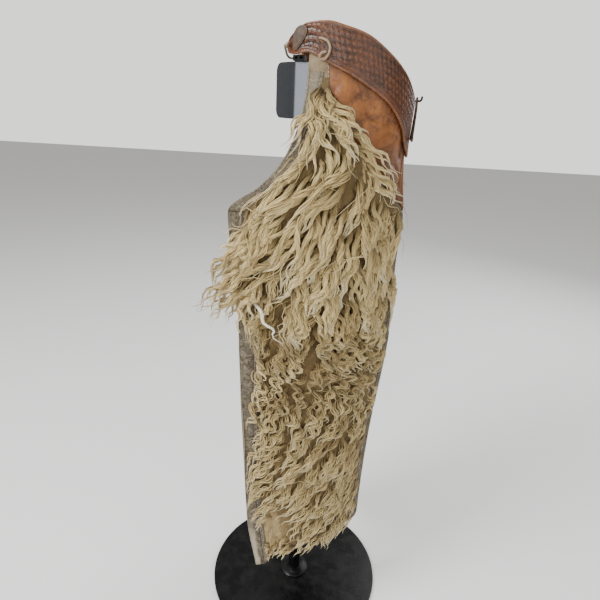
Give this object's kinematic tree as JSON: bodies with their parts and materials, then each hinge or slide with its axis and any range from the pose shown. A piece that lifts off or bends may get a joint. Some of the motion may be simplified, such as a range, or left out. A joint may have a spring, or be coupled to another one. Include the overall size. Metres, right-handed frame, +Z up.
{
  "type": "woolly leather chaps on a display stand",
  "caption": "Hair-on woolly leather leg coverings with a stamped contoured belt, hanging on a bent steel hip form over a pole and round base.",
  "frame": {"origin": "centre of the round base's underside, on the floor", "axes": "+Z up along the pole; the garment's front faces -Y; its left side is at +X"},
  "size_m": [0.356, 0.356, 1.0852],
  "materials": {
    "woolly_hide": "matte, bare tan hide under the hair",
    "mohair": "matte curled hair locks, cream to olive",
    "edging_leather": "matte, worn and dusty, stitched",
    "back_leather": "matte, plain",
    "hip_leather": "satin, creased and stained",
    "belt_leather": "satin, basket-weave stamped",
    "tab_leather": "matte",
    "lace_leather": "matte rawhide lace",
    "sheet_steel": "dark, glossy oiled sheet",
    "black_enamel": "black, glossy and dusty"
  },
  "bodies": {
    "root": {"back_L": "back_leather", "back_R": "back_leather", "back_lace": "lace_leather", "belt_L": "belt_leather", "belt_R": "belt_leather", "belt_tab_L": "tab_leather", "belt_tab_R": "tab_leather", "cross_bar_L": "black_enamel", "cross_bar_R": "black_enamel", "crotch_edging_L": "edging_leather", "crotch_edging_R": "edging_leather", "front_bracket_L": "black_enamel", "front_bracket_R": "black_enamel", "front_lace": "lace_leather", "front_locks_L": "mohair", "front_locks_R": "mohair", "fur_L": "mohair", "fur_R": "mohair", "hide_L": "woolly_hide", "hide_R": "woolly_hide", "hip_form": "sheet_steel", "hip_panel_L": "hip_leather", "hip_panel_R": "hip_leather", "inseam_border_L": "edging_leather", "inseam_border_R": "edging_leather", "outseam_border_L": "edging_leather", "outseam_border_R": "edging_leather", "rear_hook": "black_enamel", "rear_locks_L": "mohair", "rear_locks_R": "mohair", "stand_base": "black_enamel", "stand_hub": "black_enamel", "stand_pole": "black_enamel"}
  },
  "joints": []
}
